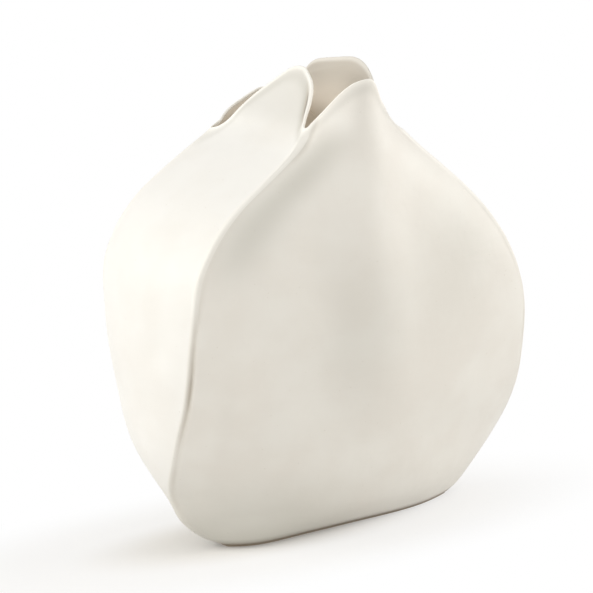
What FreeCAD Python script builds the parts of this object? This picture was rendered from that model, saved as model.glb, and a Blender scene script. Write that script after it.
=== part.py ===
"""Pillow vase: a hollow ceramic vessel of four swelling slabs on a narrow flat foot.

A front and a back panel, bell-shaped, meet two leaf-shaped side gussets along four raised
seams. The gussets run out to points at the lower corners, where the two big panels close on
each other. At the top each slab ends in its own free petal, and the petals part at a notch
above each seam, so the mouth has a wavy, four-lobed lip. The whole body stands on one slab.

X runs along the foot, Y from front to back (the front faces -Y), Z up from the surface that
the vase stands on.
"""
import FreeCAD
import Part
import Sketcher

import math
import os

os.makedirs("parts", exist_ok=True)
doc = FreeCAD.newDocument("pillow_vase")

# The body is given at named levels. Each has its rise above the level below, its half width
# and half depth at the seams, the swell of the front and back faces and of the two sides
# beyond their seams, and the sideways sway of its centre. The base slab lies between the foot
# and the sill, and the walls stand on it.
LEVELS = ("foot", "sill", "heel", "tip", "hip", "belly", "waist", "shoulder", "slope", "collar",
          "notch", "lip")
LEVEL_SIZES = {
    "foot": {"half_width": 91, "half_depth": 5, "face_swell": 17, "side_swell": 0, "sway": 7.5},
    "sill": {"rise": 6, "half_width": 102, "half_depth": 4.5, "face_swell": 25, "side_swell": 0,
             "sway": 5.5},
    "heel": {"rise": 10, "half_width": 114, "half_depth": 3.8, "face_swell": 36, "side_swell": 0,
             "sway": 4.5},
    "tip": {"rise": 18, "half_width": 127.5, "half_depth": 3.2, "face_swell": 46, "side_swell": 0,
            "sway": 8},
    "hip": {"rise": 30, "half_width": 131.5, "half_depth": 24, "face_swell": 36, "side_swell": 4,
            "sway": 3.5},
    "belly": {"rise": 40, "half_width": 129.5, "half_depth": 43, "face_swell": 28, "side_swell": 8,
              "sway": 1},
    "waist": {"rise": 46, "half_width": 125.5, "half_depth": 54, "face_swell": 25, "side_swell": 10,
              "sway": -3},
    "shoulder": {"rise": 40, "half_width": 112.5, "half_depth": 56, "face_swell": 25, "side_swell": 9,
                 "sway": -10},
    "slope": {"rise": 32, "half_width": 86, "half_depth": 55, "face_swell": 24, "side_swell": 8,
              "sway": -12},
    "collar": {"rise": 28, "half_width": 50.5, "half_depth": 52, "face_swell": 24, "side_swell": 6,
               "sway": -8},
    "notch": {"rise": 20, "half_width": 31.5, "half_depth": 50, "face_swell": 24, "side_swell": 8,
              "sway": -9},
    "lip": {"rise": 36, "half_width": 31, "half_depth": 50, "face_swell": 24, "side_swell": 13,
            "sway": -9},
}
SIZES = {
    # wall of the slabs, thinner at the lip
    "wall": 4.5,
    "lip_wall": 2.2,
    # raised seams: half of the strip's width on each slab, and how far it stands proud
    "seam_half_width": 2.6,
    "seam_proud": 1.4,
    # thick pinched clay where the panels close on each other at the lower corners
    "corner_fill": 12,
    # the petals: height of each above the notch level, and how far three notches lie from it
    "front_petal": 29.5,
    "left_petal": 30,
    "right_petal": 29,
    "back_petal": 6,
    "front_right_notch_rise": 4,
    "back_left_notch_drop": 18,
    "back_right_notch_drop": 4,
    # the left petal leans in over the mouth, and the back one stands up straighter
    "left_lip_half_width": 3,
    "left_notch_swell": -3,
    "left_lip_swell": -2,
    "back_notch_swell": 13,
    "back_lip_swell": 9,
    # room for the tools that cut the lip
    "overrun": 12,
}
# How the lip falls from a petal's peak to its notch: nearly straight, in a slow curve, or
# from a full or a square shoulder.
STRAIGHT_POWER = 1.25
PETAL_POWER = 1.7
FULL_POWER = 2.6
SQUARE_POWER = 8
# Where the back petal's peak lies between its notches, as a share of the half width.
BACK_PEAK_SHARE = 0.3
# Places along half a petal where the lip's curve is fixed.
LIP_SHARES = (-1, -0.93, -0.8, -0.55, -0.3, 0, 0.3, 0.55, 0.8, 0.93, 1)

sheet = doc.addObject("Spreadsheet::Sheet", "sizes")
for level in LEVELS:
    for kind, value in LEVEL_SIZES[level].items():
        SIZES[level + "_" + kind] = value
for row, (name, value) in enumerate(SIZES.items(), start=1):
    sheet.set("A%d" % row, name)
    sheet.set("B%d" % row, str(value))
    sheet.setAlias("B%d" % row, name)
doc.recompute()


def size(name):
    """A driving dimension, read from the sheet."""
    return float(sheet.get(name))


def level_values(kind, own={}):
    """One kind of size at every level, with a slab's own sizes where it has them."""
    return [size(own.get(level, level + "_" + kind)) for level in LEVELS]


HEIGHTS = [0]
for level in LEVELS[1:]:
    HEIGHTS.append(HEIGHTS[-1] + size(level + "_rise"))
TOP = HEIGHTS[-1]
TIP_HEIGHT = HEIGHTS[LEVELS.index("tip")]
NOTCH_HEIGHT = HEIGHTS[LEVELS.index("notch")]
BASE_TOP = HEIGHTS[LEVELS.index("sill")]


def slopes(values):
    """Slope at each level of the parabola through it and its two neighbours."""
    steps = [HEIGHTS[i + 1] - HEIGHTS[i] for i in range(len(HEIGHTS) - 1)]
    rates = [(values[i + 1] - values[i]) * (1 / steps[i]) for i in range(len(steps))]
    inner = []
    for i in range(1, len(steps)):
        crossed = rates[i - 1] * steps[i] + rates[i] * steps[i - 1]
        inner.append(crossed * (1 / (steps[i - 1] + steps[i])))
    return [rates[0] * 2 - inner[0]] + inner + [rates[-1] * 2 - inner[-1]]


def walls(values):
    """Thickness of a slab measured level, which grows where the slab lies over."""
    taper = (size("lip_wall") - size("wall")) / TOP
    return [(size("wall") + taper * height) * math.hypot(1, slope)
            for height, slope in zip(HEIGHTS, slopes(values))]


class Corner:
    """The four edges of one seam, level by level: where it meets the face slab and the side
    slab outside, its crown, and the corner of the hollow inside."""

    def __init__(self, side, face, face_own={}, side_own={}, width_own={}):
        half_widths = level_values("half_width", width_own)
        half_depths = level_values("half_depth")
        face_swells = level_values("face_swell", face_own)
        side_swells = level_values("side_swell", side_own)
        sways = level_values("sway")
        face_walls = walls([depth + swell for depth, swell in zip(half_depths, face_swells)])
        side_walls = walls([width + swell for width, swell in zip(half_widths, side_swells)])
        strip = size("seam_half_width")
        proud = size("seam_proud")
        self.face_edge, self.side_edge, self.crown, self.inside = [], [], [], []
        self.face_middle, self.face_middle_inside = [], []
        self.side_middle, self.side_middle_inside = [], []
        for i, level in enumerate(LEVELS):
            width, depth, sway, height = half_widths[i], half_depths[i], sways[i], HEIGHTS[i]
            pinch = size("corner_fill") if HEIGHTS[i] <= TIP_HEIGHT else side_walls[i]
            slant = 2 * face_swells[i] / size(level + "_half_width")
            inner_depth = depth + slant * pinch - face_walls[i] * math.hypot(1, slant)

            def point(across, along):
                return FreeCAD.Vector(sway + side * across, face * along, height)

            face_rise = face_swells[i] * (1 - ((width - strip) / width) ** 2)
            side_rise = side_swells[i] * (1 - ((depth - strip) / depth) ** 2)
            self.face_edge.append(point(width - strip, depth + face_rise))
            self.side_edge.append(point(width + side_rise, depth - strip))
            self.crown.append(point(width + proud, depth + proud))
            self.inside.append(point(width - pinch, inner_depth))
            self.face_middle.append(point(0, depth + face_swells[i]))
            self.face_middle_inside.append(point(0, depth + face_swells[i] - face_walls[i]))
            self.side_middle.append(point(width + side_swells[i], 0))
            self.side_middle_inside.append(point(width + side_swells[i] - pinch, 0))


def free_above_notch(shared, own):
    """A curve that follows the shared one up to the notch level and then its own petal."""
    return shared[:-1] + own[-1:], slopes(shared)[:-1] + slopes(shared[:-1] + own[-1:])[-1:]


def bulge(start, middle, end):
    """The control curve of a parabola across a slab, from its two edges and its middle."""
    return [m * 2 - (s + e) * 0.5 for s, m, e in zip(start, middle, end)]


class Curve:
    """A smooth curve up the body through one point a level."""

    def __init__(self, points, rates=None):
        self.points = points
        self.rates = rates or slopes(points)

    def poles(self):
        poles = [self.points[0]]
        for i in range(len(HEIGHTS) - 1):
            third = (HEIGHTS[i + 1] - HEIGHTS[i]) / 3
            poles.append(self.points[i] + self.rates[i] * third)
            poles.append(self.points[i + 1] - self.rates[i + 1] * third)
        return poles + [self.points[-1]]


def skin(curves, low, high):
    """The surface across two or three curves, between two heights."""
    surface = Part.BSplineSurface()
    degree = len(curves) - 1
    up_multiplicities = [4] + [2] * (len(HEIGHTS) - 2) + [4]
    poles = [curve.poles() for curve in curves]
    surface.buildFromPolesMultsKnots(poles, [degree + 1] * 2, up_multiplicities, [0, 1], HEIGHTS,
                                     False, False, degree, 3)
    surface.segment(0, 1, low, high)
    return surface


def slab_solid(skins):
    """The closed solid inside skins that follow each other round, with level ends."""
    faces = [surface.toShape() for surface in skins]
    for end in (0, 1):
        edges = []
        for surface in skins:
            heights = surface.bounds()[2:]
            edges.append(surface.vIso(heights[end]).toShape())
        faces.append(Part.Face(Part.Wire(Part.__sortEdges__(edges))))
    shell = Part.makeShell(faces)
    shell.sewShape()
    solid = Part.makeSolid(shell)
    if solid.Volume < 0:
        solid.reverse()
    return solid


def feature(name, shape):
    """A piece of the document with its own name, made from its surfaces."""
    piece = doc.addObject("Part::Feature", name)
    piece.Label = name
    piece.Shape = shape
    piece.Placement = FreeCAD.Placement()
    return piece


def lip_height(share, peak_share, peak, low_end, high_end, low_power, high_power):
    """Height of a petal's lip at a share of its half width from its middle."""
    if share < peak_share:
        return peak - (peak - low_end) * ((peak_share - share) / (1 + peak_share)) ** low_power
    return peak - (peak - high_end) * ((share - peak_share) / (1 - peak_share)) ** high_power


def lip_waste(name, place, half_length, reach, heights):
    """The block above a petal's lip, which is cut away: its lower side is the lip's curve.
    place gives the point at a distance along the petal and a height, behind the petal."""
    spline = Part.BSplineCurve()
    points = [place(share * half_length, height) for share, height in zip(LIP_SHARES, heights)]
    spline.interpolate(points)
    margin = size("overrun")
    outer = half_length + margin * 2
    above = TOP + margin
    corners = [points[-1], place(outer, heights[-1]), place(outer, above), place(-outer, above),
               place(-outer, heights[0]), points[0]]
    lines = [Part.LineSegment(a, b).toShape() for a, b in zip(corners, corners[1:])]
    face = Part.Face(Part.Wire([spline.toShape()] + lines))
    return feature(name, face.extrude(reach))


def cut(name, blank, waste):
    """A slab with the block above its lip cut away."""
    piece = doc.addObject("Part::Cut", name)
    piece.Label = name
    piece.Base = blank
    piece.Tool = waste
    return piece


# Seams. The back petal and the left petal have swells or a lean of their own at the top.
BACK_OWN = {"notch": "back_notch_swell", "lip": "back_lip_swell"}
LEFT_OWN = {"notch": "left_notch_swell", "lip": "left_lip_swell"}
LEFT_WIDTH = {"lip": "left_lip_half_width"}
front_left = Corner(-1, -1, side_own=LEFT_OWN)
front_right = Corner(1, -1)
back_right = Corner(1, 1, face_own=BACK_OWN)
back_left = Corner(-1, 1, face_own=BACK_OWN, side_own=LEFT_OWN)
front_left_petal = Corner(-1, -1, side_own=LEFT_OWN, width_own=LEFT_WIDTH)
back_left_petal = Corner(-1, 1, face_own=BACK_OWN, side_own=LEFT_OWN, width_own=LEFT_WIDTH)


def face_panel(name, left, right):
    """Front or back slab, uncut: from the base slab to the lip, between two seams."""
    outer = [Curve(left.face_edge), Curve(bulge(left.face_edge, left.face_middle, right.face_edge)),
             Curve(right.face_edge)]
    inner = [Curve(left.inside), Curve(bulge(left.inside, left.face_middle_inside, right.inside)),
             Curve(right.inside)]
    ends = [[outer[0], inner[0]], [outer[2], inner[2]]]
    return feature(name, slab_solid([skin(curves, BASE_TOP, TOP) for curves in [outer, inner] + ends]))


def side_gusset(name, front, back, front_own, back_own):
    """Left or right slab, uncut: a leaf from the lower corner's point to the lip."""
    front_outer = Curve(*free_above_notch(front.side_edge, front_own.side_edge))
    back_outer = Curve(*free_above_notch(back.side_edge, back_own.side_edge))
    front_inner = Curve(*free_above_notch(front.inside, front_own.inside))
    back_inner = Curve(*free_above_notch(back.inside, back_own.inside))
    middle = bulge(front_own.side_edge, front_own.side_middle, back_own.side_edge)
    middle_inside = bulge(front_own.inside, front_own.side_middle_inside, back_own.inside)
    outer = [front_outer, Curve(middle), back_outer]
    inner = [front_inner, Curve(middle_inside), back_inner]
    ends = [[front_outer, front_inner], [back_outer, back_inner]]
    return feature(name, slab_solid([skin(curves, TIP_HEIGHT, TOP) for curves in [outer, inner] + ends]))


def seam_curves(corner):
    """The curves round one seam: its rounded outside, its joint with the face slab and its
    joint with the side slab."""
    face, side, inside = Curve(corner.face_edge), Curve(corner.side_edge), Curve(corner.inside)
    crown = Curve(bulge(corner.face_edge, corner.crown, corner.side_edge))
    return [[face, crown, side], [face, inside], [side, inside]]


def seam(name, corner, top):
    """Raised strip of clay that fills the corner between a face slab and a side slab."""
    return feature(name, slab_solid([skin(curves, TIP_HEIGHT, top) for curves in seam_curves(corner)]))


def corner_seam(name, front, back):
    """Pinched clay where the front and back slabs close on each other, below a gusset."""
    front_skins, back_skins = seam_curves(front), seam_curves(back)
    joins = [[front_skins[0][2], back_skins[0][2]], [front_skins[1][1], back_skins[1][1]]]
    skins = front_skins[:2] + back_skins[:2] + joins
    return feature(name, slab_solid([skin(curves, BASE_TOP, TIP_HEIGHT) for curves in skins]))


# Front and back panels. The lip is cut along Y, and its curve is laid out in X.
lip_half_width = size("notch_half_width") - size("seam_half_width")
lip_centre = size("notch_sway")
side_reach = size("waist_half_depth") + size("waist_face_swell") + size("overrun")


def along_x(distance, height):
    return FreeCAD.Vector(lip_centre + distance, 0, height)


front_right_notch = NOTCH_HEIGHT + size("front_right_notch_rise")
front_heights = [lip_height(share, 0, NOTCH_HEIGHT + size("front_petal"), NOTCH_HEIGHT,
                            front_right_notch, PETAL_POWER, PETAL_POWER) for share in LIP_SHARES]
back_left_notch = NOTCH_HEIGHT - size("back_left_notch_drop")
back_right_notch = NOTCH_HEIGHT - size("back_right_notch_drop")
back_heights = [lip_height(share, BACK_PEAK_SHARE, NOTCH_HEIGHT + size("back_petal"), back_left_notch,
                           back_right_notch, PETAL_POWER, PETAL_POWER) for share in LIP_SHARES]
front_panel = cut("front_panel", face_panel("front_blank", front_left, front_right),
                  lip_waste("front_lip_waste", along_x, lip_half_width,
                            FreeCAD.Vector(0, -side_reach, 0), front_heights))
back_panel = cut("back_panel", face_panel("back_blank", back_left, back_right),
                 lip_waste("back_lip_waste", along_x, lip_half_width,
                           FreeCAD.Vector(0, side_reach, 0), back_heights))

# Side gussets. The lip is cut along X, and its curve is laid out in Y.
lip_half_depth = size("notch_half_depth") - size("seam_half_width")
face_reach = size("hip_half_width") + size("waist_side_swell") + size("overrun")


def left_place(distance, height):
    return FreeCAD.Vector(lip_centre + lip_half_width, distance, height)


def right_place(distance, height):
    return FreeCAD.Vector(lip_centre, distance, height)


left_heights = [lip_height(share, 0, NOTCH_HEIGHT + size("left_petal"), NOTCH_HEIGHT, back_left_notch,
                           PETAL_POWER, STRAIGHT_POWER) for share in LIP_SHARES]
right_heights = [lip_height(share, 0, NOTCH_HEIGHT + size("right_petal"), front_right_notch,
                            back_right_notch, FULL_POWER, SQUARE_POWER) for share in LIP_SHARES]
left_waste = lip_waste("left_lip_waste", left_place, lip_half_depth,
                       FreeCAD.Vector(-face_reach, 0, 0), left_heights)
right_waste = lip_waste("right_lip_waste", right_place, lip_half_depth,
                        FreeCAD.Vector(face_reach, 0, 0), right_heights)
left_gusset = cut("left_gusset", side_gusset("left_blank", front_left, back_left, front_left_petal,
                                             back_left_petal), left_waste)
right_gusset = cut("right_gusset", side_gusset("right_blank", front_right, back_right, front_right,
                                               back_right), right_waste)

# The four raised seams, each up to the notch at its top, and the two pinched lower corners.
front_left_seam = seam("front_left_seam", front_left, NOTCH_HEIGHT)
front_right_seam = seam("front_right_seam", front_right, front_right_notch)
back_right_seam = seam("back_right_seam", back_right, back_right_notch)
back_left_seam = seam("back_left_seam", back_left, back_left_notch)
left_corner_seam = corner_seam("left_corner_seam", front_left, back_left)
right_corner_seam = corner_seam("right_corner_seam", front_right, back_right)


def slab_outline(body, level):
    """Sketch of the base slab's outline at one level: two long arcs that meet the pinched
    corners, and a short arc round each corner. Its sizes are bound to the sheet."""
    plane = next(item for item in body.Origin.OriginFeatures if item.Role == "XY_Plane")
    sketch = body.newObject("Sketcher::SketchObject", level + "_outline")
    sketch.AttachmentSupport = (plane, "")
    sketch.MapMode = "FlatFace"
    if level == "sill":
        sketch.setExpression("AttachmentOffset.Base.z", "sizes.sill_rise")
    own = {kind: "sizes.%s_%s" % (level, kind) for kind in LEVEL_SIZES[level]}
    across = "(%s - sizes.seam_half_width)" % own["half_width"]
    rise = "(%s * (1 - (%s / %s) ^ 2))" % (own["face_swell"], across, own["half_width"])
    along = "(%s + %s)" % (own["half_depth"], rise)
    face_sag = "(%s - %s)" % (own["face_swell"], rise)
    nose_sag = "(sizes.seam_half_width + sizes.seam_proud)"
    width, depth = size(level + "_half_width"), size(level + "_half_depth")
    swell, sway = size(level + "_face_swell"), size(level + "_sway")
    strip, proud = size("seam_half_width"), size("seam_proud")
    x, y = width - strip, depth + swell * (1 - ((width - strip) / width) ** 2)
    ends = [(sway - x, -y), (sway + x, -y), (sway + x, y), (sway - x, y)]
    middles = [(sway, -depth - swell), (sway + width + proud, 0), (sway, depth + swell),
               (sway - width - proud, 0)]
    for i in range(len(ends)):
        points = [FreeCAD.Vector(*place, 0) for place in (ends[i], middles[i], ends[(i + 1) % len(ends)])]
        sketch.addGeometry(Part.Arc(*points), False)
    for i in range(len(ends)):
        sketch.addConstraint(Sketcher.Constraint("Coincident", i, 2, (i + 1) % len(ends), 1))
    signs = [("-", "-"), ("+", "-"), ("+", "+"), ("-", "+")]
    for i, (side, face) in enumerate(signs):
        number = sketch.addConstraint(Sketcher.Constraint("DistanceX", -1, 1, i, 1, ends[i][0]))
        sketch.setExpression("Constraints[%d]" % number, "%s %s %s" % (own["sway"], side, across))
        number = sketch.addConstraint(Sketcher.Constraint("DistanceY", -1, 1, i, 1, ends[i][1]))
        sketch.setExpression("Constraints[%d]" % number, "0 %s %s" % (face, along))
    for i in range(len(ends)):
        chord, sag = (across, face_sag) if i % 2 == 0 else (along, nose_sag)
        radius = sketch.Geometry[i].Radius
        number = sketch.addConstraint(Sketcher.Constraint("Radius", i, radius))
        rule = "(%s ^ 2 + %s ^ 2) / (2 * %s)" % (chord, sag, sag)
        sketch.setExpression("Constraints[%d]" % number, rule)
    return sketch


# Base slab: a flat lens of clay whose edge flares up from the foot to the walls.
base_slab = doc.addObject("PartDesign::Body", "base_slab")
foot_outline = slab_outline(base_slab, "foot")
sill_outline = slab_outline(base_slab, "sill")
slab_loft = base_slab.newObject("PartDesign::AdditiveLoft", "flared_slab")
slab_loft.Profile = foot_outline
slab_loft.Sections = [sill_outline]
slab_loft.Ruled = True

doc.recompute()
PIECES = [base_slab, front_panel, back_panel, left_gusset, right_gusset, front_left_seam,
          front_right_seam, back_right_seam, back_left_seam, left_corner_seam, right_corner_seam]

# Every object of the document and every piece is sound before anything is written.
for item in doc.Objects:
    if "Invalid" in item.State or "Error" in item.State:
        raise RuntimeError("%s is not sound: %s" % (item.Name, item.State))
for piece in PIECES:
    shape = piece.Shape
    if shape.isNull() or not shape.isValid() or len(shape.Solids) != 1:
        raise RuntimeError("%s is not one sound solid" % piece.Label)
for piece in PIECES:
    piece.Shape.exportStep("parts/%s.step" % piece.Label)
    print(piece.Label, "volume %.0f" % piece.Shape.Volume)
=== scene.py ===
"""A hand-built pillow vase in warm white porcelain, on a pale table in soft studio light.

The sections follow the vase as it is put together: foot slab, front and back panels, side
gussets, raised seams, pinched corners, and then the camera, the table, the light and the
room. Sizes are in millimetres until a mesh is made.
"""

import math

import bpy
import numpy as np
from mathutils import Matrix, Vector


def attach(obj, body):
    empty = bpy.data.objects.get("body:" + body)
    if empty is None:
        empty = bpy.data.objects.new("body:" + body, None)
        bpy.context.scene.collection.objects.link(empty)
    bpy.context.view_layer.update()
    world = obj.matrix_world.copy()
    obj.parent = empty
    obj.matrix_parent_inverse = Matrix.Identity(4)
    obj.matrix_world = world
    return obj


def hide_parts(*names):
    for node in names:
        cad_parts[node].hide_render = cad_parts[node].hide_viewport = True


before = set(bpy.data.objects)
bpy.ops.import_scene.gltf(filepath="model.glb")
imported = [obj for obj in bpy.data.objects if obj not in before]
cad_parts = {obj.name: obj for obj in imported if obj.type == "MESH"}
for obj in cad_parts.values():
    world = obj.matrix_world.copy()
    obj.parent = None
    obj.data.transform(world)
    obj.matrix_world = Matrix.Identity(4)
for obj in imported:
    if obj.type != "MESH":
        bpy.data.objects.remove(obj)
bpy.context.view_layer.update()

# Foot slab. A flat lens of porcelain, rolled out and cut first: the four walls stand on it
# and its edge flares out to meet them. It is wiped smooth below, with a soft lower edge.

# Outline of the whole vase at named heights: foot, sill, heel, tip, hip, belly, waist,
# shoulder, slope, collar, notch and lip. Every curve up the body passes near these.
HEIGHTS = np.array([0, 6, 16, 34, 64, 104, 150, 190, 222, 250, 270, 306], float)
HALF_WIDTH = np.array([91, 102, 114, 127.5, 131.5, 129.5, 125.5, 112.5, 86, 50.5, 31.5, 31], float)
HALF_DEPTH = np.array([5, 4.5, 3.8, 3.2, 24, 43, 54, 56, 55, 52, 50, 50], float)
FACE_SWELL = np.array([17, 25, 36, 46, 36, 28, 25, 25, 24, 24, 24, 24], float)
SIDE_SWELL = np.array([0, 0, 0, 0, 4, 8, 10, 9, 8, 6, 8, 13], float)
SWAY = np.array([7.5, 5.5, 4.5, 8, 3.5, 1, -3, -10, -12, -8, -9, -9], float)
SILL, TIP, TOP = HEIGHTS[1], HEIGHTS[3], HEIGHTS[11]
WALL, LIP_WALL = 4.5, 2.2
# Each slab ends STRIP short of its corner, and a seam fills the rest. Up to the gussets'
# points the hollow stays CORNER_FILL away from the corners.
STRIP = 2.6
CORNER_FILL = 12.0
# Step of the fine curves up the body, and the width of the bell curve that softens them.
FINE_STEP, SOFTNESS = 0.25, 4.0
MM = 0.001


def level_slopes(values):
    """Slope at each level of the parabola through it and its two neighbours."""
    gaps = np.diff(HEIGHTS)
    rates = np.diff(values) / gaps
    inner = (rates[:-1] * gaps[1:] + rates[1:] * gaps[:-1]) / (gaps[:-1] + gaps[1:])
    return np.concatenate([[2 * rates[0] - inner[0]], inner, [2 * rates[-1] - inner[-1]]])


def up_curve(values):
    """A size as a smooth function of height: a cubic between each pair of levels with the
    level slopes at its ends, then blurred by a bell curve SOFTNESS wide."""
    gaps = np.diff(HEIGHTS)
    slopes = level_slopes(values)
    fine = np.arange(-5 * SOFTNESS, TOP + 5 * SOFTNESS, FINE_STEP)
    i = np.clip(np.searchsorted(HEIGHTS, fine, side="right") - 1, 0, len(gaps) - 1)
    t = np.clip((fine - HEIGHTS[i]) / gaps[i], 0, 1)
    curve = ((1 + 2 * t) * (1 - t) ** 2 * values[i] + t * (1 - t) ** 2 * gaps[i] * slopes[i]
             + t * t * (3 - 2 * t) * values[i + 1] - t * t * (1 - t) * gaps[i] * slopes[i + 1])
    curve += slopes[0] * np.minimum(fine, 0) + slopes[-1] * np.maximum(fine - TOP, 0)
    reach = np.arange(-3 * SOFTNESS, 3 * SOFTNESS + FINE_STEP / 2, FINE_STEP)
    weights = np.exp(-0.5 * (reach / SOFTNESS) ** 2)
    soft = np.convolve(curve, weights / weights.sum(), mode="same")
    kept = slice(len(reach) // 2, len(fine) - len(reach) // 2)
    return lambda z: np.interp(z, fine[kept], soft[kept])


def with_own(values, notch, lip):
    """The same levels, but with a petal's own values at the notch and the lip."""
    own = values.copy()
    own[-2:] = notch, lip
    return own


def wall_width(values):
    """Level thickness of a slab at the levels: its wall, thinner towards the lip, and wider
    where the slab lies over."""
    wall = WALL + (LIP_WALL - WALL) * HEIGHTS / TOP
    return wall * np.hypot(1, level_slopes(values))


def rise(value, low, high):
    """0 below low, 1 above high and a smooth step between them."""
    t = np.clip((value - low) / (high - low), 0, 1)
    return t * t * (3 - 2 * t)


def hump(distance, width):
    """A bell curve of height 1."""
    return np.exp(-(distance / width) ** 2)


def patch(across, z, centre, reach):
    """A soft round patch of height 1, from its centre and its reach, each across and up."""
    return hump(across - centre[0], reach[0]) * hump(z - centre[1], reach[1])


def parabola(share, start, middle, end):
    """Value of the parabola through start, middle and end at a share from -1 to 1."""
    return middle + share * (end - start) / 2 + share ** 2 * ((start + end) / 2 - middle)


def bend(t, start, control, end):
    """Point at t from 0 to 1 on the quadratic curve from start to end, drawn to control."""
    return (1 - t) ** 2 * start + 2 * t * (1 - t) * control + t * t * end


# How far out the sides and the panels stand, near enough for their shades and waves.
SIDE_REACH, FACE_REACH = 120, 60
# Painted shade near the foot, and how much of it the gussets' points take.
FOOT_SHADE_DEPTH, LEAF_SHARE = 0.95, 0.7


def foot_shade(x, z):
    """Painted shade near the foot, darker towards the bottom and strongest at the left."""
    return FOOT_SHADE_DEPTH * (1 - rise(z, 4, 62)) * (1 - rise(x, -70, 30))


def leaf_shade(side, z):
    """The same painted shade on the lower point of a gusset, fading sooner."""
    return LEAF_SHARE * foot_shade(SIDE_REACH * side, z) * (1 - rise(z, TIP, 60))


# A seam's bead: its height, what is left of it low down, its rounded end below the notch, and
# its half width in the clay and in the glaze.
BEAD, LOW_BEAD, BEAD_END = 1.1, 0.15, 0.5
BEAD_REACH, CROWN_REACH = 2.2, 2


def bead_height(z):
    """How far a seam's crown stands proud: a raised strip above, smoothed away lower down,
    with the slight waver of a hand and a rounded end below the notch."""
    waver = 1 + 0.09 * np.sin(z / 6.3) + 0.06 * np.sin(z / 2.9 + 1)
    strip = BEAD * rise(z, 140, 215) + LOW_BEAD * rise(z, 30, 60)
    return (strip * waver + BEAD_END * hump(z - 259, 3)) * (1 - 0.9 * rise(z, 260.5, 265))


def crown_mark(near, z):
    """How strongly a point lies on a seam's crown, from its distance to it."""
    return bead_height(z) / BEAD * hump(near, CROWN_REACH)


# Depth of a tooled line: below the waist, what the belly adds, above the waist, and what the
# notch adds. Then how much of it the seams at the right have.
LINE, BELLY_LINE, HIGH_LINE, NOTCH_LINE = 0.6, 1.05, 0.12, 0.4
RIGHT_SHARE = 0.4


def tooled_line(distance, z, side):
    """Depth of the line that a tool left along a seam, at a distance from its crown counted
    towards the panel: deepest at the belly, only a soft hollow above the waist, and
    shallower along the seams at the right."""
    above = rise(z, 150, 190)
    depth = (LINE + BELLY_LINE * hump(z - 116, 27)) * rise(z, 16, 38) * (1 - above)
    depth = depth + above * (HIGH_LINE + NOTCH_LINE * rise(z, 244, 256))
    share = 1 if side < 0 else RIGHT_SHARE
    return share * depth * hump(distance - 1.2 - 3.8 * above, 1.9 + 0.6 * above)


# Number, lengths and height of the waves that pressing by hand leaves in a slab.
WAVES, SHORT_WAVE, LONG_WAVE, WAVE_HEIGHT = 6, 55, 120, 0.16


def uneven(x, y, z, seed):
    """Hand-pressed unevenness of a slab: long waves of random direction and phase."""
    draw = np.random.default_rng(seed)
    total = 0
    for _ in range(WAVES):
        direction = draw.normal(size=3)
        length = draw.uniform(SHORT_WAVE, LONG_WAVE)
        wave = 2 * np.pi / length * direction / np.linalg.norm(direction)
        phase = draw.uniform(0, 2 * np.pi)
        total = total + np.sin(wave[0] * x + wave[1] * y + wave[2] * z + phase)
    return total * WAVE_HEIGHT


sway = up_curve(SWAY)
# The foot's turn in radians, how much fuller its left end is towards the front and the left,
# and how far the left side is squeezed in, with what that gains for each millimetre of y.
FOOT_TURN, FULLER_FRONT, FULLER_LEFT = 0.05, 9, 4.5
SQUEEZE, SQUEEZE_BACK = 4.4, 0.033


def place(x, y, z):
    """Points of the body where they belong: the sway moves each level sideways, the foot is
    turned a little against the body and fuller at its left, and the left side is squeezed in
    below its notches, most at the back."""
    fuller = hump(x + 77, 29) * (1 - rise(z, 0, 25))
    turned = y + FOOT_TURN * (1 - rise(z, 0, 90)) * x - FULLER_FRONT * fuller
    squeeze = (SQUEEZE + SQUEEZE_BACK * y) * hump(z - 259, 10) * rise(-x, 10, 40)
    moved = x + squeeze - FULLER_LEFT * fuller
    return np.stack(np.broadcast_arrays(moved + sway(z), turned, z), axis=-1)


# The front's modelled forms: a ridge below the petal, its slope, reach and roundness, a crest
# at its right, a roll beside the lower left seam, and a hollow at each side of the ridge.
RIDGE_SLOPE, RIDGE_REACH, RIDGE_ROUND = 0.085, 46, 7
CREST, ROLL, LEFT_HOLLOW, RIGHT_HOLLOW = 1.5, 3.6, 2.6, 1.6
# Painted shade on the front: along the upper left seam, in the middle and at the right.
SHOULDER_SHADE, MIDDLE_SHADE, RIGHT_SHADE = 0.75, 0.33, 0.4
# Height up to which the panels' lower corners are fuller than a parabola.
FULL_CORNERS = 70


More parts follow.
